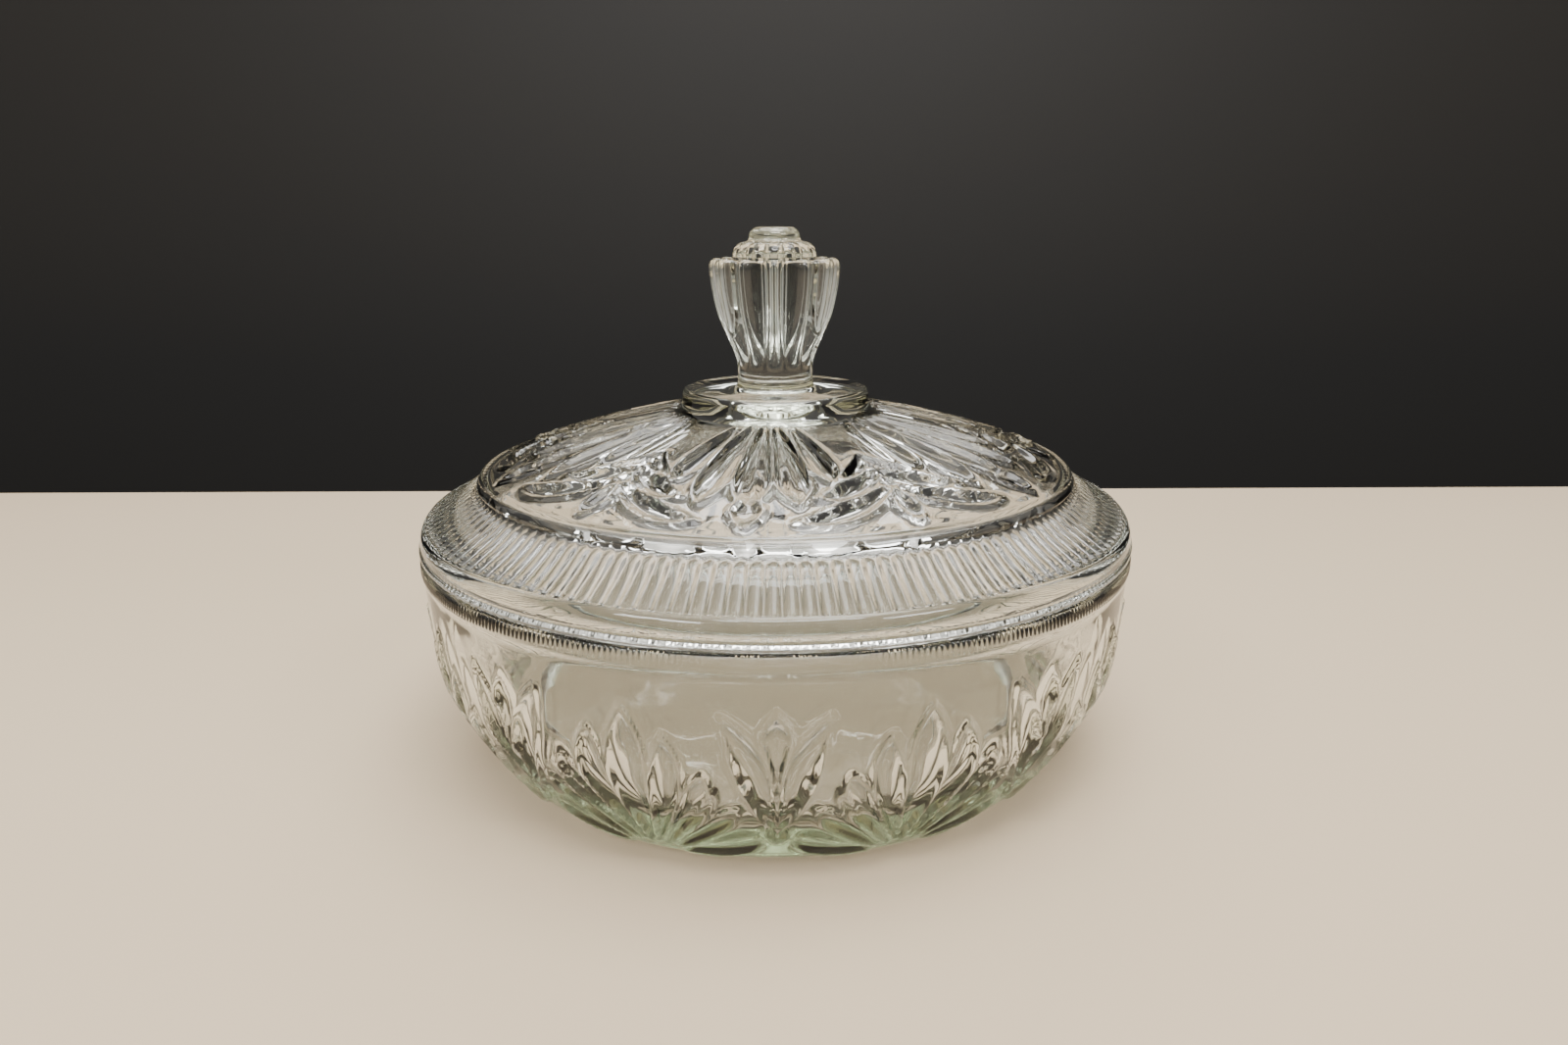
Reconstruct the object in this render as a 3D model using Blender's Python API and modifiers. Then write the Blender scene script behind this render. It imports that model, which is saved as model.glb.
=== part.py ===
"""Covered candy dish in pressed glass: a round bowl and a loose domed lid with a fluted knob.

Metres, +Z up. The origin is the centre of the bowl's resting face, and +Z is the dish's axis.
The lid rests on the bowl's rim and lifts straight off along +Z.
"""

import math

import bpy

MM = 0.001
STEPS = 60  # facets around the axis; a multiple of the knob's ribs
REST_GAP = 0.3 * MM  # between the lid and the rim that carries it

# Driving dimensions
RIM_RADIUS = 89.0 * MM  # the widest ring of the bowl and of the lid
RIM_HEIGHT = 55.0 * MM  # top of the bowl's rim above the table
FOOT_RADIUS = 67.5 * MM  # outer edge of the resting face
FOOT_RECESS_RADIUS = 61.0 * MM
FOOT_RECESS_DEPTH = 0.8 * MM
FLOOR_HEIGHT = 11.3 * MM  # inside floor of the bowl
RIM_INNER_RADIUS = 84.6 * MM
SEAT_INNER_RADIUS = 83.9 * MM  # outside of the ring that centres the lid in the bowl
FLANGE_INNER_RADIUS = 81.2 * MM
FLANGE_DROP = 3.2 * MM
LID_GLASS = 4.2 * MM  # thickness of the lid's dome
HOLLOW_RADIUS = 11.0 * MM  # shallow hollow in the lid's underside, below the knob
HOLLOW_HEIGHT = 86.6 * MM
UNDERSIDE_HEIGHT = 81.7 * MM  # the lid's underside around that hollow
BAND_ROUND = 5.0 * MM  # the plain convex band above the lid's edge
BAND_HEIGHT = 57.6 * MM  # where the band's round meets the upright edge
DOME_RADIUS = 73.2 * MM
DOME_EDGE_HEIGHT = 72.1 * MM
DOME_BULGE = 1.1 * MM  # rise of the dome's middle above a straight cone
COLLAR_RADIUS = 23.3 * MM
COLLAR_FOOT_RADIUS = 24.4 * MM
COLLAR_FOOT_HEIGHT = 85.0 * MM
COLLAR_HEIGHT = 90.8 * MM
NECK_RADIUS = 9.4 * MM
FLARE_HEIGHT = 96.5 * MM  # where the knob starts to widen
KNOB_RADIUS = 16.1 * MM
KNOB_TOP_HEIGHT = 122.6 * MM
TIER_RADIUS = 10.3 * MM
TIER_HEIGHT = 126.3 * MM
CAP_RADIUS = 6.3 * MM
TOTAL_HEIGHT = 129.7 * MM
KNOB_RIBS = 12
GROOVE_FLOOR_TOP = 10.6 * MM  # radius of the groove floors at the knob's top
GROOVE_FLOOR_BOTTOM = 8.8 * MM
GROOVE_FLATNESS = 0.58  # a groove's width over its depth
GROOVE_SIZE_TOP = 6.4 * MM  # half the depth of the bar that cuts a groove
GROOVE_SIZE_BOTTOM = 3.2 * MM
RIM_ROUND = 1.5 * MM


def arc(center, radius, start_deg, end_deg, count):
    """Points (r, z) along a circular arc, ends included."""
    points = []
    for i in range(count + 1):
        angle = math.radians(start_deg + (end_deg - start_deg) * i / count)
        points.append((center[0] + radius * math.cos(angle), center[1] + radius * math.sin(angle)))
    return points


def smooth(knots, per_span):
    """Points of a Catmull-Rom curve through the knots (r, z), ends included."""
    ends = [knots[0]] + list(knots) + [knots[-1]]
    points = []
    for a, b, c, d in zip(ends, ends[1:], ends[2:], ends[3:]):
        for i in range(per_span):
            t = i / per_span
            point = []
            for p, q, r, s in zip(a, b, c, d):
                bend = (2 * p - 5 * q + 4 * r - s) * t * t + (3 * q - p - 3 * r + s) * t ** 3
                point.append(0.5 * (2 * q + (r - p) * t + bend))
            points.append(tuple(point))
    points.append(tuple(knots[-1]))
    return points


def dome_height(radius):
    """Height of the lid's outer dome, from the collar's foot to the dome's edge."""
    t = (radius - COLLAR_FOOT_RADIUS) / (DOME_RADIUS - COLLAR_FOOT_RADIUS)
    drop = (COLLAR_FOOT_HEIGHT - DOME_EDGE_HEIGHT) * t
    return COLLAR_FOOT_HEIGHT - drop + DOME_BULGE * 4 * t * (1 - t)


def glass_material():
    """Clear soda glass with the faint grey-green of its thick sections."""
    material = bpy.data.materials.new("pressed_glass")
    material.use_nodes = True
    shader = material.node_tree.nodes["Principled BSDF"]
    shader.inputs["Base Color"].default_value = (0.80, 0.86, 0.76, 1.0)
    shader.inputs["Roughness"].default_value = 0.03
    shader.inputs["Metallic"].default_value = 0.0
    shader.inputs["IOR"].default_value = 1.52
    shader.inputs["Transmission Weight"].default_value = 0.9
    material.diffuse_color = (0.80, 0.86, 0.76, 1.0)
    return material


def turned(name, profile, material, collection):
    """A closed profile from axis to axis, up the inside and down the outside, turned about Z."""
    mesh = bpy.data.meshes.new(name)
    edges = [(i, i + 1) for i in range(len(profile) - 1)]
    mesh.from_pydata([(r, 0, z) for r, z in profile], edges, [])
    mesh.materials.append(material)
    piece = bpy.data.objects.new(name, mesh)
    collection.objects.link(piece)
    screw = piece.modifiers.new("turn", "SCREW")
    screw.axis = "Z"
    screw.steps = STEPS
    screw.render_steps = STEPS
    screw.use_merge_vertices = True
    screw.merge_threshold = 0.01 * MM
    screw.use_smooth_shade = True
    return piece


def bowl_profile():
    """Thick-based bowl: rounded inside, near-upright upper wall, tapered lower wall."""
    inside = smooth(
        [
            (0, FLOOR_HEIGHT),
            (50 * MM, FLOOR_HEIGHT + 0.1 * MM),
            (64 * MM, FLOOR_HEIGHT + 0.6 * MM),
            (71 * MM, 13.3 * MM),
            (76.0 * MM, 17.5 * MM),
            (79.8 * MM, 24 * MM),
            (82.4 * MM, 32 * MM),
            (84.0 * MM, 43 * MM),
        ],
        2,
    )
    rim_inner = arc((RIM_INNER_RADIUS + RIM_ROUND, RIM_HEIGHT - RIM_ROUND), RIM_ROUND, 180, 90, 2)
    rim_outer = arc((RIM_RADIUS - RIM_ROUND, RIM_HEIGHT - RIM_ROUND), RIM_ROUND, 90, 0, 3)
    outside = smooth(
        [
            (RIM_RADIUS, 51.6 * MM),
            (88.4 * MM, 49.6 * MM),
            (88.0 * MM, 43 * MM),
            (87.0 * MM, 33 * MM),
            (85.9 * MM, 26 * MM),
            (83.2 * MM, 20 * MM),
            (78.8 * MM, 12 * MM),
            (74.6 * MM, 5.4 * MM),
            (71.4 * MM, 1.6 * MM),
            (FOOT_RADIUS, 0),
        ],
        2,
    )
    recess_flat_radius = FOOT_RECESS_RADIUS - 1.5 * MM
    foot = [(FOOT_RECESS_RADIUS, 0), (recess_flat_radius, FOOT_RECESS_DEPTH), (0, FOOT_RECESS_DEPTH)]
    return inside + rim_inner + rim_outer + outside + foot


def lid_inside():
    """Underside of the lid, from the axis out to the ring that centres it in the bowl."""
    dome = [
        (0, HOLLOW_HEIGHT),
        (0.64 * HOLLOW_RADIUS, HOLLOW_HEIGHT - 0.3 * MM),
        (0.89 * HOLLOW_RADIUS, HOLLOW_HEIGHT - 1.6 * MM),
        (1.07 * HOLLOW_RADIUS, UNDERSIDE_HEIGHT + 1.3 * MM),
        (1.27 * HOLLOW_RADIUS, UNDERSIDE_HEIGHT + 0.3 * MM),
        (1.6 * HOLLOW_RADIUS, UNDERSIDE_HEIGHT),
    ]
    dome_steps = 5
    dome_end = DOME_RADIUS - 5.8 * MM
    for step in range(dome_steps + 1):
        radius = COLLAR_FOOT_RADIUS + (dome_end - COLLAR_FOOT_RADIUS) * step / dome_steps
        dome.append((radius, dome_height(radius) - LID_GLASS))
    shoulder = [(72.2 * MM, 67.0 * MM), (77.0 * MM, 63.0 * MM), (80.2 * MM, 59.0 * MM)]
    flange_low = RIM_HEIGHT - FLANGE_DROP
    flange = [
        (FLANGE_INNER_RADIUS, RIM_HEIGHT),
        (FLANGE_INNER_RADIUS + 0.3 * MM, flange_low + 0.5 * MM),
        (FLANGE_INNER_RADIUS + 0.8 * MM, flange_low),
        (SEAT_INNER_RADIUS - 0.7 * MM, flange_low),
        (SEAT_INNER_RADIUS - 0.2 * MM, flange_low + 0.7 * MM),
        (SEAT_INNER_RADIUS, RIM_HEIGHT + REST_GAP),
    ]
    return dome + shoulder + flange


def lid_outside():
    """Outside of the lid, from its rim up to the collar under the knob."""
    low = RIM_HEIGHT + REST_GAP
    rim = [(RIM_RADIUS - 0.8 * MM, low), (RIM_RADIUS, low + 0.7 * MM)]
    band = arc((RIM_RADIUS - BAND_ROUND, BAND_HEIGHT), BAND_ROUND, 0, 52, 4)
    shoulder = [(82.5 * MM, 64.3 * MM), (79.0 * MM, 66.5 * MM), (76.6 * MM, 68.3 * MM)]
    shoulder += [(74.6 * MM, 70.2 * MM)]
    dome = [(DOME_RADIUS, DOME_EDGE_HEIGHT)]
    dome_steps = 6
    for step in range(1, dome_steps):
        radius = DOME_RADIUS + (COLLAR_FOOT_RADIUS - DOME_RADIUS) * step / dome_steps
        dome.append((radius, dome_height(radius)))
    collar_round = 0.9 * MM
    collar = [(COLLAR_FOOT_RADIUS + 1.0 * MM, dome_height(COLLAR_FOOT_RADIUS + 1.0 * MM))]
    collar += [(COLLAR_FOOT_RADIUS, COLLAR_FOOT_HEIGHT + 0.8 * MM)]
    collar += arc((COLLAR_RADIUS - collar_round, COLLAR_HEIGHT - collar_round), collar_round, 0, 90, 2)
    return rim + band + shoulder + dome + collar


def knob_outside():
    """Neck, flared body, tier and cap of the knob, from the bottom up."""
    neck = [(NECK_RADIUS + 1.6 * MM, COLLAR_HEIGHT), (NECK_RADIUS, COLLAR_HEIGHT + 1.2 * MM)]
    body = smooth(
        [
            (NECK_RADIUS, FLARE_HEIGHT),
            (11.0 * MM, 101.2 * MM),
            (13.8 * MM, 107.6 * MM),
            (15.4 * MM, 114.2 * MM),
            (KNOB_RADIUS, 119.4 * MM),
        ],
        2,
    )
    top_round = 2.0 * MM
    shoulder = arc((KNOB_RADIUS - top_round, KNOB_TOP_HEIGHT - top_round), top_round, 20, 90, 2)
    tier_round = 3.2 * MM
    tier = [(TIER_RADIUS, KNOB_TOP_HEIGHT - 1.0 * MM)]
    tier += arc((TIER_RADIUS - tier_round, TIER_HEIGHT - tier_round), tier_round, 0, 90, 3)
    cap_round = 2.6 * MM
    cap = [(CAP_RADIUS, TIER_HEIGHT)]
    cap += arc((CAP_RADIUS - cap_round, TOTAL_HEIGHT - cap_round), cap_round, 0, 90, 3)
    return neck + body + shoulder + tier + cap + [(0, TOTAL_HEIGHT)]


def lid_profile():
    """The lid's outline, up the underside's axis side first and down the outside."""
    outside_up = lid_outside() + knob_outside()
    return list(reversed(outside_up)) + list(reversed(lid_inside()))


def groove_cutter(number, collection):
    """One groove between two of the knob's ribs: a tapered bar that leans with the knob's side."""
    top_height = KNOB_TOP_HEIGHT + 0.9 * MM
    low_height = FLARE_HEIGHT + 0.5 * MM
    top_radius = GROOVE_FLOOR_TOP + GROOVE_SIZE_TOP
    low_radius = GROOVE_FLOOR_BOTTOM + GROOVE_SIZE_BOTTOM
    lean = math.atan2(top_radius - low_radius, top_height - low_height)
    length = math.hypot(top_radius - low_radius, top_height - low_height)
    bpy.ops.mesh.primitive_cone_add(
        vertices=10, radius1=GROOVE_SIZE_BOTTOM, radius2=GROOVE_SIZE_TOP, depth=length
    )
    cutter = bpy.context.object
    cutter.name = "knob_groove_cutter_" + str(number)
    for vertex in cutter.data.vertices:
        vertex.co.y *= GROOVE_FLATNESS
    turn = math.radians(360 / KNOB_RIBS * (number + 0.5) - 90)
    middle = (top_radius + low_radius) / 2
    cutter.location = (middle * math.cos(turn), middle * math.sin(turn), (top_height + low_height) / 2)
    cutter.rotation_euler = (0, lean, turn)
    cutter.hide_render = True
    cutter.display_type = "WIRE"
    for owner in list(cutter.users_collection):
        owner.objects.unlink(cutter)
    collection.objects.link(cutter)


def main():
    for old in list(bpy.data.objects):
        bpy.data.objects.remove(old, do_unlink=True)
    parts = bpy.data.collections.new("candy_dish")
    cutters = bpy.data.collections.new("cutters")
    bpy.context.scene.collection.children.link(parts)
    bpy.context.scene.collection.children.link(cutters)
    cutters.hide_render = True
    material = glass_material()
    turned("bowl", bowl_profile(), material, parts)
    lid = turned("lid", lid_profile(), material, parts)
    for number in range(KNOB_RIBS):
        groove_cutter(number, cutters)
    grooves = lid.modifiers.new("knob_grooves", "BOOLEAN")
    grooves.operation = "DIFFERENCE"
    grooves.solver = "EXACT"
    grooves.operand_type = "COLLECTION"
    grooves.collection = cutters


main()
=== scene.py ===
"""Looks for the covered candy dish: two pieces of pressed glass on a pale studio floor.

Both pieces are turned surfaces, built ring by ring, with the moulded pattern pushed in or out along the
surface's normal. Lengths are in millimetres until a mesh is made; angles are in degrees, 0 at the front.
"""

import math

import bpy
import numpy as np
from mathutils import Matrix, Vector


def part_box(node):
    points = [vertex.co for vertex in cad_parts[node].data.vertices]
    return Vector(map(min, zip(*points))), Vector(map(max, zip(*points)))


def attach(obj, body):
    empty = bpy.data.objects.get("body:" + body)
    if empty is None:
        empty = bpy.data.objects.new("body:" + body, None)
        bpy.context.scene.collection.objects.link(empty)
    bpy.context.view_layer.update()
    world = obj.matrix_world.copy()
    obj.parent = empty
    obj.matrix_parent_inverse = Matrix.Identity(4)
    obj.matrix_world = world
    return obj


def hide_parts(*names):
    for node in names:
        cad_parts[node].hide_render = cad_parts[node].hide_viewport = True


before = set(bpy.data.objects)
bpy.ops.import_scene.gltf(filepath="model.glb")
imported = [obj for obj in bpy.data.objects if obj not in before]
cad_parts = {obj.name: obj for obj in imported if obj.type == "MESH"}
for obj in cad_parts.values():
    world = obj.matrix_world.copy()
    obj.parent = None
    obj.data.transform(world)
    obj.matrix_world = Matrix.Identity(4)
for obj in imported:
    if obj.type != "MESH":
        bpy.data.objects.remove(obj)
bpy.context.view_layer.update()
MM = 0.001

# The frame's own sizes, in millimetres
bowl_high = np.array(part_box("bowl")[1]) / MM
lid_low, lid_high = [np.array(corner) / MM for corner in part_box("lid")]
RIM_RADIUS = bowl_high[0]
RIM_HEIGHT = bowl_high[2]
TOTAL_HEIGHT = lid_high[2]
FLANGE_LOW = lid_low[2]

# Bowl
FOOT_RADIUS = 67.5
FOOT_RECESS_RADIUS = 61.0
FOOT_RECESS_DEPTH = 0.8
FLOOR_HEIGHT = 11.3
RIM_INNER_RADIUS = RIM_RADIUS - 4.4
RIM_ROUND = 1.5
BOWL_MOTIFS = 9
BOWL_TURN = 0.35  # degrees from the front to the front motif's axis
MM_PER_DEGREE = 1.5  # along the bowl's wall
WALL_COLUMNS = 936
WALL_ROW = 0.80  # height of one row of faces
RIM_BEADS = 468
RIM_BEAD_COLUMNS = 4
BEAD_DEPTH = 0.4  # of the fine notches on both rims
LIP_HEIGHT = 0.80  # the raised edge round each leaf
LIP_SPREAD = 0.80
STEM_SHARE = 0.12  # a stemmed leaf's width at its start, as a share of its widest

# Lid
REST_GAP = 0.3
SEAT_RADIUS = RIM_RADIUS - 5.1
FLANGE_INNER_RADIUS = SEAT_RADIUS - 2.7
LID_GLASS = 4.2
DOME_RADIUS = 73.2
DOME_EDGE_HEIGHT = 72.1
DOME_BULGE = 1.1
COLLAR_RADIUS = 23.3
COLLAR_FOOT_RADIUS = 24.4
COLLAR_FOOT_HEIGHT = 85.0
COLLAR_HEIGHT = 90.8
LID_MOTIFS = 6
LID_TURN = -4.9  # degrees from the front to the nearest fan's axis
FLUTES = 156
FLUTE_COLUMNS = 8
FLUTE_DEPTH = 0.95
FLUTE_SHARE = 0.43  # half of a flute's width, as a share of the spacing
FLUTE_HEAD_RADIUS = 75.6
FLUTE_END_RADIUS = 86.0
RING_LINE_RADIUS = 71.6
RING_LINE_DEPTH = 0.45
DOME_COLUMNS = 624
DOME_ROW = 0.95

# Knob
KNOB_RIBS = 12
KNOB_COLUMNS = 312
KNOB_ROW = 0.75
KNOB_RADIUS = 16.1
KNOB_LOW = 96  # the ribs start here
KNOB_SHOULDER = 121.2  # bottom of the dip between the ribs and the tier
KNOB_TOP = 122.6  # nothing of the ribs is higher
NECK_RADIUS = 9.4
TIER_RADIUS = 10.3
CAP_RADIUS = 6.3
GROOVE_SHARE = 0.06  # how much of a rib's height is left in the grooves

# Glass, with densities per metre
GLASS_TINT = (0.68, 0.79, 0.50)
BOWL_DENSITY = 13
LID_DENSITY = 11

# Studio, in metres
DISH_MIDDLE = (0, 0, 0.06)
FLOOR_HALF_WIDTH = 8.0
FLOOR_BACK_EDGE = 0.25
FLOOR_DROP = 0.0003  # the floor lies this far under the dish
SCREEN_PLACE = 0.75
SCREEN_HALF_WIDTH = 1.3
SCREEN_LOW = -0.6
SCREEN_HIGH = 1.1
CAMERA_PLACE = (0.00206, -0.2691, 0.1325)
CAMERA_PITCH = 0.281  # radians below level
CAMERA_ROLL = -0.004
CAMERA_LENS = 24.5


# ---------------------------------------------------------------- outlines

def arc(center, radius, start, end, count):
    """Points (r, z) along a circular arc, ends included."""
    angles = np.radians(np.linspace(start, end, count + 1))
    return [(center[0] + radius * math.cos(a), center[1] + radius * math.sin(a)) for a in angles]


def smooth(knots, per_span=8):
    """Points of a Catmull-Rom curve through the knots (r, z), ends included."""
    knots = np.array(knots, float)
    ends = np.concatenate([knots[:1], knots, knots[-1:]])
    points = []
    for a, b, c, d in zip(ends, ends[1:], ends[2:], ends[3:]):
        for t in np.arange(per_span) / per_span:
            bend = (2 * a - 5 * b + 4 * c - d) * t * t + (3 * b - a - 3 * c + d) * t ** 3
            points.append(tuple(0.5 * (2 * b + (c - a) * t + bend)))
    return points + [tuple(knots[-1])]


def even(points, step):
    """The same outline with points one step apart, and both ends kept."""
    points = np.array(points, float)
    lengths = np.hypot(*np.diff(points, axis=0).T)
    far = np.concatenate([[0], np.cumsum(lengths)])
    places = np.linspace(0, far[-1], max(2, round(far[-1] / step) + 1))
    return np.stack([np.interp(places, far, points[:, 0]), np.interp(places, far, points[:, 1])], axis=1)


# ---------------------------------------------------------------- turned meshes

def rings(outline, columns, relief=None, turn=0.0):
    """Rings of points around the axis, one for each point of the outline, with relief along the normal."""
    outline = np.array(outline, float)
    along = np.gradient(outline, axis=0)
    outward = np.stack([along[:, 1], -along[:, 0]], axis=1)
    outward /= np.maximum(np.hypot(*outward.T), 1e-9)[:, None]
    angle = turn + np.arange(columns)[None, :] * 360 / columns
    radius = np.repeat(outline[:, :1], columns, axis=1)
    height = np.repeat(outline[:, 1:], columns, axis=1)
    if relief is not None:
        raised = relief(angle + 0 * radius, radius, height)
        radius = radius + raised * outward[:, :1]
        height = height + raised * outward[:, 1:]
    a = np.radians(angle)
    return list(np.stack([radius * np.sin(a), -radius * np.cos(a), height], axis=2))


def joined(first, second, lower, upper):
    """Faces between two neighbouring rings, the one with more columns in a whole multiple of the other."""
    n, m = len(lower), len(upper)
    low, high = np.arange(n), np.arange(m)
    if n == m:
        corners = [first + low, first + np.roll(low, -1), second + np.roll(high, -1), second + high]
        return np.stack(corners, axis=1)
    faces = []
    few, many = min(n, m), max(n, m)
    times = many // few
    for i in range(few):
        next_few = (i + 1) % few
        for j in range(times):
            one = i * times + j
            two = (one + 1) % many
            corner = i if j < times / 2 else next_few
            if n < m:
                faces.append((first + corner, second + two, second + one))
            else:
                faces.append((first + one, first + two, second + corner))
        middle = i * times + (times + 1) // 2
        if n < m:
            faces.append((first + i, first + next_few, second + middle))
        else:
            faces.append((first + middle, second + next_few, second + i))
    return np.array(faces)


def turned_piece(name, stretches, material):
    """A closed piece from stretches of rings, from the axis at its start to the axis at its end."""
    stack = [ring for stretch in stretches for ring in stretch]
    points = np.concatenate([[(0, 0, stack[0][0, 2])]] + stack + [[(0, 0, stack[-1][0, 2])]]) * MM
    starts = 1 + np.concatenate([[0], np.cumsum([len(ring) for ring in stack])])
    faces = []
    for i in range(len(stack) - 1):
        faces += joined(starts[i], starts[i + 1], stack[i], stack[i + 1]).tolist()
    count = len(stack[0])
    faces += [(0, 1 + (i + 1) % count, 1 + i) for i in range(count)]
    top, count = len(points) - 1, len(stack[-1])
    faces += [(top, starts[-2] + i, starts[-2] + (i + 1) % count) for i in range(count)]
    mesh = bpy.data.meshes.new(name)
    mesh.from_pydata(points.tolist(), [], faces)
    mesh.validate()
    mesh.shade_smooth()
    mesh.materials.append(material)
    piece = bpy.data.objects.new(name, mesh)
    bpy.context.scene.collection.objects.link(piece)
    return piece


# ---------------------------------------------------------------- moulded leaves

def along_path(x, y, start, middle, end, steps=14):
    """Nearest place on a bent line: the share of the way along it, and the distance to it."""
    t = np.linspace(0, 1, steps + 1)[:, None]
    start, middle, end = np.array(start), np.array(middle), np.array(end)
    bend = 2 * middle - (start + end) / 2
    line = (1 - t) ** 2 * start + 2 * t * (1 - t) * bend + t * t * end
    near = np.full(x.shape, np.inf)
    share = np.zeros(x.shape)
    for i, (a, b) in enumerate(zip(line, line[1:])):
        step = b - a
        part = np.clip(((x - a[0]) * step[0] + (y - a[1]) * step[1]) / (step @ step), 0, 1)
        off = np.hypot(x - a[0] - part * step[0], y - a[1] - part * step[1])
        share = np.where(off < near, (i + part) / steps, share)
        near = np.minimum(near, off)
    return share, near


def leaf(x, y, start, middle, end, half_width, widest=0.65, depth=1.0, crease=0.5, base=0.3,
         blunt=False, stemmed=False):
    """Depth of one leaf cut into the glass, with a raised edge, widest part-way along."""
    share, off = along_path(x, y, start, middle, end)
    opening = 1 - (1 - base) * ((widest - share) / widest) ** 2
    if stemmed:
        opening = STEM_SHARE + (1 - STEM_SHARE) * (share / widest) ** 2.2
    closing = 1 - (np.maximum(share - widest, 0) / (1 - widest)) ** 2
    if blunt:
        closing = np.sqrt(np.maximum(closing, 0))
    width = np.where(share < widest, opening, closing)
    across = off / np.maximum(half_width * width, 1e-3)
    hollow = depth * width ** 1.5 * np.clip(1 - across ** (2 - crease), 0, None)
    lip = LIP_HEIGHT * np.exp(-((off - half_width * width) / LIP_SPREAD) ** 2)
    return np.where(across < 1, hollow - lip, -lip)


def merged(leaves):
    """Depth where leaves meet: the deepest hollow, or where there is none, the highest raised edge."""
    deepest = np.max(leaves, axis=0)
    return np.where(deepest > 0, deepest, np.min(leaves, axis=0))


def folded(angle, turn, motifs):
    """Angle from the nearest motif's axis, the same on both sides, since each motif is symmetrical."""
    period = 360 / motifs
    return np.abs((angle - turn + period / 2) % period - period / 2)


def bowl_relief(angle, radius, height):
    """Lily motifs and palmettes by turns, cut into the bowl's wall."""
    aside = folded(angle, BOWL_TURN, BOWL_MOTIFS)
    x = aside * MM_PER_DEGREE
    half = 180 / BOWL_MOTIFS
    u = (half - aside) * MM_PER_DEGREE
    z = height
    lily = [
        leaf(x, z, (0, 17), (0, 30), (0, 42.5), 3.0, widest=0.75, depth=1.8, crease=0.8, stemmed=True),
        leaf(x, z, (1.0, 15.5), (4.7, 29.5), (10.1, 41.8), 3.3, widest=0.5, depth=1.8, crease=0.3),
        leaf(x, z, (0.4, 9.6), (1.3, 12.2), (2.0, 15.2), 1.4, widest=0.6, depth=0.8, blunt=True),
    ]
    palmette = [
        leaf(u, z, (0, 6.5), (0, 24), (0, 42.2), 3.9, widest=0.68, depth=1.7, crease=0.7),
        leaf(u, z, (1.5, 7.0), (7.2, 22.5), (8.0, 36.6), 3.1, widest=0.66, depth=1.5, crease=0.6),
        leaf(u, z, (3.5, 6.5), (11.6, 18.8), (15.6, 29.0), 2.6, widest=0.66, depth=1.3, crease=0.6),
        leaf(u, z, (9.0, 12.0), (14.6, 19.0), (17.6, 24.9), 1.3, widest=0.6, depth=0.7),
        leaf(u, z, (6.0, 6.0), (15.6, 13.4), (22.0, 20.3), 2.3, widest=0.66, depth=0.9),
        leaf(u, z, (8.0, 4.4), (18.5, 6.6), (26.4, 10.2), 3.0, widest=0.7, depth=0.6, blunt=True),
    ]
    return -merged(lily + palmette)


def beads(count, from_radius, middle_height, spread):
    """Relief of fine notches side by side around an edge: near one height, and only outside one radius."""
    def relief(angle, radius, height):
        notch = 0.5 - 0.5 * np.cos(np.radians(angle - BOWL_TURN) * count)
        near = np.exp(-((height - middle_height) / spread) ** 2) * (radius > from_radius)
        return -BEAD_DEPTH * notch * near
    return relief


def polar(degrees, radius):
    """A place on the dome seen from above, x across and y outward from the motif's axis."""
    return (radius * math.sin(math.radians(degrees)), radius * math.cos(math.radians(degrees)))


def dome_relief(angle, radius, height):
    """Fans of petals and leafy sprays by turns, cut into the lid's dome, and a ring line near its edge."""
    aside = np.radians(folded(angle, LID_TURN, LID_MOTIFS))
    x, y = radius * np.sin(aside), radius * np.cos(aside)
    fan = [
        leaf(x, y, polar(0, 27), polar(0, 45), polar(0, 63.6), 4.0, widest=0.74, depth=1.1, crease=0.9),
        leaf(x, y, polar(6, 27), polar(8.6, 45), polar(9.8, 62), 3.7, widest=0.74, depth=1.1, crease=0.7),
        leaf(x, y, polar(14, 28), polar(17, 42), polar(18.6, 54.5), 3.1, widest=0.7, depth=1.0),
        leaf(x, y, polar(0, 60), polar(0, 65), polar(0, 70), 3.4, widest=0.35, depth=0.7, crease=0.8),
    ]
    spray = [
        leaf(x, y, polar(28.6, 58.5), polar(17.8, 65.2), polar(8.4, 67.8), 2.7, widest=0.45, depth=1.2),
        leaf(x, y, polar(29.7, 51.0), polar(22.2, 56.8), polar(13.4, 59.9), 3.0, widest=0.5, depth=1.2),
        leaf(x, y, polar(30, 43.0), polar(25.5, 49.3), polar(19.4, 53.0), 1.9, widest=0.5, depth=0.9),
        leaf(x, y, polar(30, 59.5), polar(30, 65), polar(30, 70.0), 2.4, widest=0.5, depth=0.9, crease=0.8),
    ]
    ring_line = RING_LINE_DEPTH * np.clip(1 - np.abs(radius - RING_LINE_RADIUS) / 0.8, 0, None)
    return -merged(fan + spray + [ring_line])


def flute_relief(angle, radius, height):
    """Fingers side by side around the shoulder, with round heads under the riser."""
    period = 360 / FLUTES
    from_middle = np.abs((angle + period / 2) % period - period / 2)
    across = from_middle / (period * FLUTE_SHARE)
    half_width = np.radians(period * FLUTE_SHARE) * radius
    beyond_head = np.clip((FLUTE_HEAD_RADIUS + half_width - radius) / half_width, 0, None)
    finger = np.sqrt(np.clip(1 - across ** 2.4 - beyond_head ** 2, 0, None))
    fade = np.clip((radius - FLUTE_END_RADIUS) / 0.8, 0, 1)
    return -FLUTE_DEPTH * (1 - finger) * (1 - fade)


# ---------------------------------------------------------------- the two pieces

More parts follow.
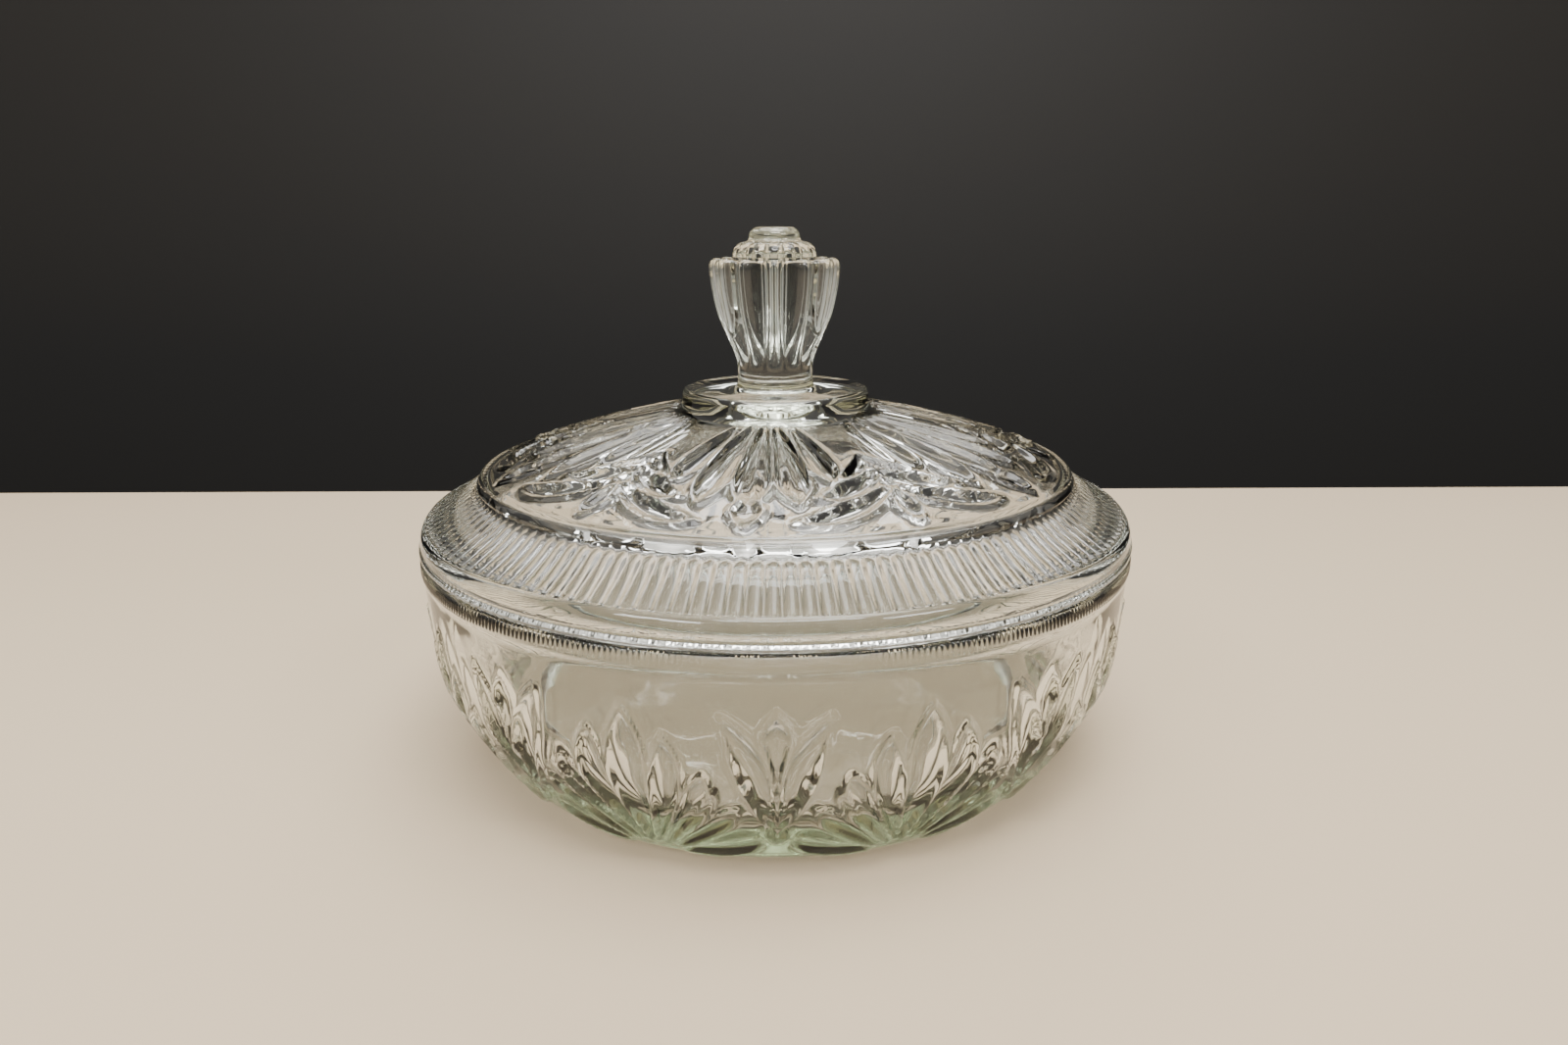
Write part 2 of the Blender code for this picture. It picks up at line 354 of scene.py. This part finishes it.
def make_bowl(material):
    """The bowl, from the middle of its recessed foot up the wall, over the rim and down inside."""
    foot_edge = FOOT_RECESS_RADIUS - 1.5
    underneath = [(1.0, FOOT_RECESS_DEPTH), (foot_edge, FOOT_RECESS_DEPTH), (FOOT_RECESS_RADIUS, 0.05)]
    underneath += [(FOOT_RECESS_RADIUS + 0.7, 0), (FOOT_RADIUS, 0)]
    wall = smooth([
        (FOOT_RADIUS, 0), (71.4, 1.6), (74.6, 5.4), (78.8, 12), (83.2, 20),
        (85.9, 26), (87.0, 33), (88.0, 43), (88.4, 49.6),
    ])
    lip = [(88.6, 50.6), (RIM_RADIUS, 51.8)]
    edge = arc((RIM_RADIUS - RIM_ROUND, RIM_HEIGHT - RIM_ROUND), RIM_ROUND, 0, 90, 8)
    rim_inner = arc((RIM_INNER_RADIUS + RIM_ROUND, RIM_HEIGHT - RIM_ROUND), RIM_ROUND, 90, 180, 6)
    beaded = beads(RIM_BEADS, RIM_RADIUS - 1.3, RIM_HEIGHT - 1.2, 1.1)
    inside = smooth([
        (84.0, 43), (82.4, 32), (79.8, 24), (76.0, 17.5), (71, 13.3), (64, FLOOR_HEIGHT + 0.6),
        (50, FLOOR_HEIGHT + 0.1), (20, FLOOR_HEIGHT), (1.0, FLOOR_HEIGHT),
    ])
    stretches = [
        rings(even(underneath, 5.0), 117, turn=BOWL_TURN),
        rings(even(wall, WALL_ROW), WALL_COLUMNS, bowl_relief, BOWL_TURN),
        rings(even(lip, 0.8), WALL_COLUMNS, turn=BOWL_TURN),
        rings(even(edge, 0.42), RIM_BEADS * RIM_BEAD_COLUMNS, beaded, BOWL_TURN),
        rings(even(rim_inner, 0.8), 468, turn=BOWL_TURN),
        rings(even(inside, 2.2), 234, turn=BOWL_TURN),
    ]
    return turned_piece("bowl_pressed_glass", stretches, material)


def dome_height(radius):
    """Height of the lid's outer dome, from the collar's foot to the dome's edge."""
    t = (radius - COLLAR_FOOT_RADIUS) / (DOME_RADIUS - COLLAR_FOOT_RADIUS)
    return COLLAR_FOOT_HEIGHT - (COLLAR_FOOT_HEIGHT - DOME_EDGE_HEIGHT) * t + DOME_BULGE * 4 * t * (1 - t)


def underside_outline():
    """Underside of the lid, from the axis out to the ring that centres it in the bowl."""
    dome = [(1.0, 86.6), (7.0, 86.3), (9.8, 85.0), (11.8, 83.0), (14.0, 82.0), (17.5, 81.7)]
    dome += [(r, dome_height(r) - LID_GLASS) for r in np.linspace(COLLAR_FOOT_RADIUS, 67.4, 6)]
    shoulder = [(72.2, 67.0), (77.0, 63.0), (80.2, 59.0)]
    flange = [(FLANGE_INNER_RADIUS, RIM_HEIGHT), (FLANGE_INNER_RADIUS + 0.3, FLANGE_LOW + 0.5)]
    return smooth(dome + shoulder + flange, 3)


def seat_outline():
    """The centring ring's foot, its outer side and the narrow face that rests over the bowl's rim."""
    low = RIM_HEIGHT + REST_GAP
    seat = [(FLANGE_INNER_RADIUS + 0.3, FLANGE_LOW + 0.5), (FLANGE_INNER_RADIUS + 0.8, FLANGE_LOW)]
    seat += [(SEAT_RADIUS - 0.7, FLANGE_LOW), (SEAT_RADIUS - 0.2, FLANGE_LOW + 0.7), (SEAT_RADIUS, low)]
    return seat + arc((RIM_RADIUS - 0.8, low + 0.8), 0.8, -90, 0, 3)


def knob_outline():
    """The knob's side over its ribs, its tier and its cap, from the collar's top up to the axis."""
    neck = [(11.2, COLLAR_HEIGHT - 0.3), (NECK_RADIUS + 0.5, COLLAR_HEIGHT + 0.2)]
    neck += [(NECK_RADIUS, COLLAR_HEIGHT + 1.2)]
    body = smooth([(NECK_RADIUS, 96.5), (11.0, 101.2), (13.8, 107.6), (15.4, 114.2), (KNOB_RADIUS, 119.4)])
    top = arc((KNOB_RADIUS - 2.0, 120.4), 2.0, 10, 90, 5) + [(12.4, 122.2), (10.9, 121.2)]
    tier = [(TIER_RADIUS, 121.8)] + arc((TIER_RADIUS - 3.2, 123.0), 3.2, 0, 85, 8)
    cap = [(CAP_RADIUS + 0.2, 126.4), (CAP_RADIUS, 126.8)]
    cap += arc((CAP_RADIUS - 2.6, TOTAL_HEIGHT - 2.6), 2.6, 0, 90, 8) + [(1.0, TOTAL_HEIGHT)]
    return neck + body + top + tier + cap


def knob_rings():
    """The knob's rings: twelve round ribs with sharp grooves between them, and a scalloped tier."""
    outline = even(knob_outline(), KNOB_ROW)
    groove_floor = np.interp(outline[:, 1], [96, 99, 121], [NECK_RADIUS, 8.9, 10.5])
    made = []
    a = np.radians(np.arange(KNOB_COLUMNS) * 360 / KNOB_COLUMNS)
    rib = GROOVE_SHARE + (1 - GROOVE_SHARE) * np.abs(np.cos(a * KNOB_RIBS / 2)) ** 0.8
    for (radius, height), floor in zip(outline, groove_floor):
        level = np.full(KNOB_COLUMNS, height)
        if radius > floor and KNOB_LOW < height < KNOB_TOP:
            around = floor + (radius - floor) * rib
            if height > KNOB_SHOULDER:
                level = KNOB_SHOULDER + (height - KNOB_SHOULDER) * rib
        elif radius > CAP_RADIUS + 0.6 and height > 121.5:
            around = radius - 0.7 * (1 - rib)
        else:
            around = np.full(KNOB_COLUMNS, radius)
        made.append(np.stack([around * np.sin(a), -around * np.cos(a), level], axis=1))
    return made


def make_lid(material):
    """The lid, from under the knob out to the edge, then over the flutes and dome to the knob's cap."""
    edge = [(RIM_RADIUS, 56.5), (RIM_RADIUS - 0.05, 57.0), (RIM_RADIUS - 0.6, 57.5)]
    edge += [(RIM_RADIUS - 0.5, 57.9)]
    band = arc((RIM_RADIUS - 5.4, 58.2), 5.0, 2, 48, 8)
    flutes = smooth([band[-1], (86.0, 62.2), (82.5, 64.3), (79.0, 66.5), (76.6, 68.3), (75.0, 69.8)])
    riser = [(74.6, 70.2), (73.9, 71.6), (DOME_RADIUS, DOME_EDGE_HEIGHT)]
    dome = [(r, dome_height(r)) for r in np.linspace(DOME_RADIUS - 0.3, COLLAR_FOOT_RADIUS + 1, 60)]
    collar = [(COLLAR_FOOT_RADIUS, COLLAR_FOOT_HEIGHT + 0.6), (23.7, 87.5)]
    collar += [(COLLAR_RADIUS, COLLAR_HEIGHT - 0.9)]
    collar += arc((COLLAR_RADIUS - 0.9, COLLAR_HEIGHT - 0.9), 0.9, 0, 90, 4)
    collar += [(21.4, COLLAR_HEIGHT - 0.4), (12.0, COLLAR_HEIGHT - 0.4)]
    stretches = [
        rings(even(underside_outline(), 3.0), 156),
        rings(even(seat_outline(), 0.8), 312),
        rings(even(edge, 0.5), FLUTES * FLUTE_COLUMNS, beads(FLUTES * 2, 0, 57.0, 0.35)),
        rings(even(band, 0.9), 624),
        rings(even(flutes, 1.0), FLUTES * FLUTE_COLUMNS, flute_relief),
        rings(even(riser, 0.8), 624),
        rings(even(dome, DOME_ROW), DOME_COLUMNS, dome_relief),
        rings(even(collar, 1.3), 312),
        knob_rings(),
    ]
    return turned_piece("lid_pressed_glass", stretches, material)


# ---------------------------------------------------------------- materials

def pressed_glass(name, tint, density, seed):
    """Clear soda glass, green where it is thick, with mould ripples, grain and scuffs where it rests."""
    material = bpy.data.materials.new(name)
    material.use_nodes = True
    nodes, links = material.node_tree.nodes, material.node_tree.links
    shader = nodes["Principled BSDF"]
    shader.inputs["Base Color"].default_value = (1.0, 1.0, 1.0, 1.0)
    shader.inputs["Transmission Weight"].default_value = 1.0
    shader.inputs["IOR"].default_value = 1.52
    place = nodes.new("ShaderNodeTexCoord")
    ripple = nodes.new("ShaderNodeTexNoise")
    ripple.inputs["Scale"].default_value = 60 + seed
    ripple.inputs["Detail"].default_value = 2.0
    grain = nodes.new("ShaderNodeTexNoise")
    grain.inputs["Scale"].default_value = 700
    grain.inputs["Detail"].default_value = 3.0
    for texture in (ripple, grain):
        links.new(place.outputs["Object"], texture.inputs["Vector"])
    wave = nodes.new("ShaderNodeBump")
    wave.inputs["Strength"].default_value = 0.2
    wave.inputs["Distance"].default_value = 0.001
    fine = nodes.new("ShaderNodeBump")
    fine.inputs["Strength"].default_value = 0.02
    fine.inputs["Distance"].default_value = 0.0002
    links.new(ripple.outputs["Fac"], wave.inputs["Height"])
    links.new(grain.outputs["Fac"], fine.inputs["Height"])
    links.new(wave.outputs["Normal"], fine.inputs["Normal"])
    links.new(fine.outputs["Normal"], shader.inputs["Normal"])
    split = nodes.new("ShaderNodeSeparateXYZ")
    links.new(place.outputs["Object"], split.inputs["Vector"])
    scuffs = nodes.new("ShaderNodeMapRange")
    scuffs.inputs["From Min"].default_value = 0.0
    scuffs.inputs["From Max"].default_value = 0.0015
    scuffs.inputs["To Min"].default_value = 0.22
    scuffs.inputs["To Max"].default_value = 0.0
    links.new(split.outputs["Z"], scuffs.inputs["Value"])
    polish = nodes.new("ShaderNodeMapRange")
    polish.inputs["From Min"].default_value = 0.35
    polish.inputs["From Max"].default_value = 0.75
    polish.inputs["To Min"].default_value = 0.0
    polish.inputs["To Max"].default_value = 0.05
    links.new(grain.outputs["Fac"], polish.inputs["Value"])
    worn = nodes.new("ShaderNodeMath")
    worn.operation = "MAXIMUM"
    links.new(polish.outputs["Result"], worn.inputs[0])
    links.new(scuffs.outputs["Result"], worn.inputs[1])
    links.new(worn.outputs["Value"], shader.inputs["Roughness"])
    absorb = nodes.new("ShaderNodeVolumeAbsorption")
    absorb.inputs["Color"].default_value = (*tint, 1.0)
    absorb.inputs["Density"].default_value = density
    links.new(absorb.outputs["Volume"], nodes["Material Output"].inputs["Volume"])
    return material


def floor_material():
    """Pale matt paper with a barely visible tooth."""
    material = bpy.data.materials.new("studio_paper")
    material.use_nodes = True
    nodes, links = material.node_tree.nodes, material.node_tree.links
    shader = nodes["Principled BSDF"]
    shader.inputs["Roughness"].default_value = 0.7
    noise = nodes.new("ShaderNodeTexNoise")
    noise.inputs["Scale"].default_value = 30
    ramp = nodes.new("ShaderNodeValToRGB")
    ramp.color_ramp.elements[0].color = (0.56, 0.44, 0.30, 1)
    ramp.color_ramp.elements[1].color = (0.62, 0.50, 0.35, 1)
    links.new(noise.outputs["Fac"], ramp.inputs["Fac"])
    links.new(ramp.outputs["Color"], shader.inputs["Base Color"])
    return material


# ---------------------------------------------------------------- studio

def make_floor():
    """The pale floor, which ends a little way behind the dish."""
    mesh = bpy.data.meshes.new("floor")
    half, back, below = FLOOR_HALF_WIDTH, FLOOR_BACK_EDGE, -FLOOR_DROP
    corners = [(-half, -half, below), (half, -half, below), (half, back, below), (-half, back, below)]
    mesh.from_pydata(corners, [], [(0, 1, 2, 3)])
    mesh.materials.append(floor_material())
    floor = bpy.data.objects.new("floor", mesh)
    bpy.context.scene.collection.objects.link(floor)


def make_backdrop():
    """A dark screen well behind the floor's far edge."""
    far, half, low, high = SCREEN_PLACE, SCREEN_HALF_WIDTH, SCREEN_LOW, SCREEN_HIGH
    mesh = bpy.data.meshes.new("backdrop")
    corners = [(-half, far, low), (half, far, low), (half, far, high), (-half, far, high)]
    mesh.from_pydata(corners, [], [(0, 1, 2, 3)])
    material = bpy.data.materials.new("dark_screen")
    material.use_nodes = True
    shader = material.node_tree.nodes["Principled BSDF"]
    shader.inputs["Base Color"].default_value = (0.006, 0.0055, 0.005, 1)
    shader.inputs["Roughness"].default_value = 0.6
    mesh.materials.append(material)
    backdrop = bpy.data.objects.new("backdrop", mesh)
    bpy.context.scene.collection.objects.link(backdrop)


def soft_light(name, place, size, watts):
    """A rectangular light aimed at the dish, and not itself seen by the camera."""
    data = bpy.data.lights.new(name, "AREA")
    data.shape = "RECTANGLE"
    data.size, data.size_y = size
    data.energy = watts
    light = bpy.data.objects.new(name, data)
    bpy.context.scene.collection.objects.link(light)
    light.location = place
    direction = Vector(DISH_MIDDLE) - light.location
    light.rotation_euler = direction.to_track_quat("-Z", "Y").to_euler()
    light.visible_camera = False


def make_studio():
    """A sky that brightens upward, and five soft lights above the dish."""
    world = bpy.data.worlds.new("studio")
    world.use_nodes = True
    bpy.context.scene.world = world
    nodes, links = world.node_tree.nodes, world.node_tree.links
    place = nodes.new("ShaderNodeTexCoord")
    split = nodes.new("ShaderNodeSeparateXYZ")
    ramp = nodes.new("ShaderNodeValToRGB")
    links.new(place.outputs["Generated"], split.inputs["Vector"])
    links.new(split.outputs["Z"], ramp.inputs["Fac"])
    links.new(ramp.outputs["Color"], nodes["Background"].inputs["Color"])
    ramp.color_ramp.elements[0].position = 0.0
    ramp.color_ramp.elements[0].color = (0.22, 0.21, 0.20, 1)
    ramp.color_ramp.elements[1].position = 0.85
    ramp.color_ramp.elements[1].color = (1.25, 1.22, 1.16, 1)
    ramp.color_ramp.elements.new(1.0).color = (3.5, 3.4, 3.25, 1)
    soft_light("overhead", (0.12, -0.05, 0.9), (0.5, 0.4), 4)
    soft_light("over_the_back", (0.0, 0.6, 0.8), (0.6, 0.12), 2)
    soft_light("front_top", (0.05, -0.5, 0.95), (0.6, 0.15), 6)
    soft_light("left_front", (-0.6, -0.75, 0.85), (0.5, 0.12), 4)
    soft_light("right_front", (0.7, -0.6, 0.85), (0.4, 0.12), 3)


def make_camera():
    """A wide lens close in front of the dish, looking slightly down."""
    data = bpy.data.cameras.new("camera")
    data.lens = CAMERA_LENS
    data.sensor_width = 36
    data.clip_start = 0.01
    camera = bpy.data.objects.new("camera", data)
    bpy.context.scene.collection.objects.link(camera)
    camera.location = CAMERA_PLACE
    camera.rotation_mode = "XYZ"
    pitch, roll = CAMERA_PITCH, CAMERA_ROLL
    camera.rotation_euler = (math.pi / 2 - pitch, -roll * math.cos(pitch), roll * math.sin(pitch))
    bpy.context.scene.camera = camera


make_camera()
make_studio()
make_floor()
make_backdrop()
bowl = make_bowl(pressed_glass("bowl_glass", GLASS_TINT, BOWL_DENSITY, 0))
lid = make_lid(pressed_glass("lid_glass", GLASS_TINT, LID_DENSITY, 5))
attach(bowl, "bowl")
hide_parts("bowl")
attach(lid, "lid")
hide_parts("lid")
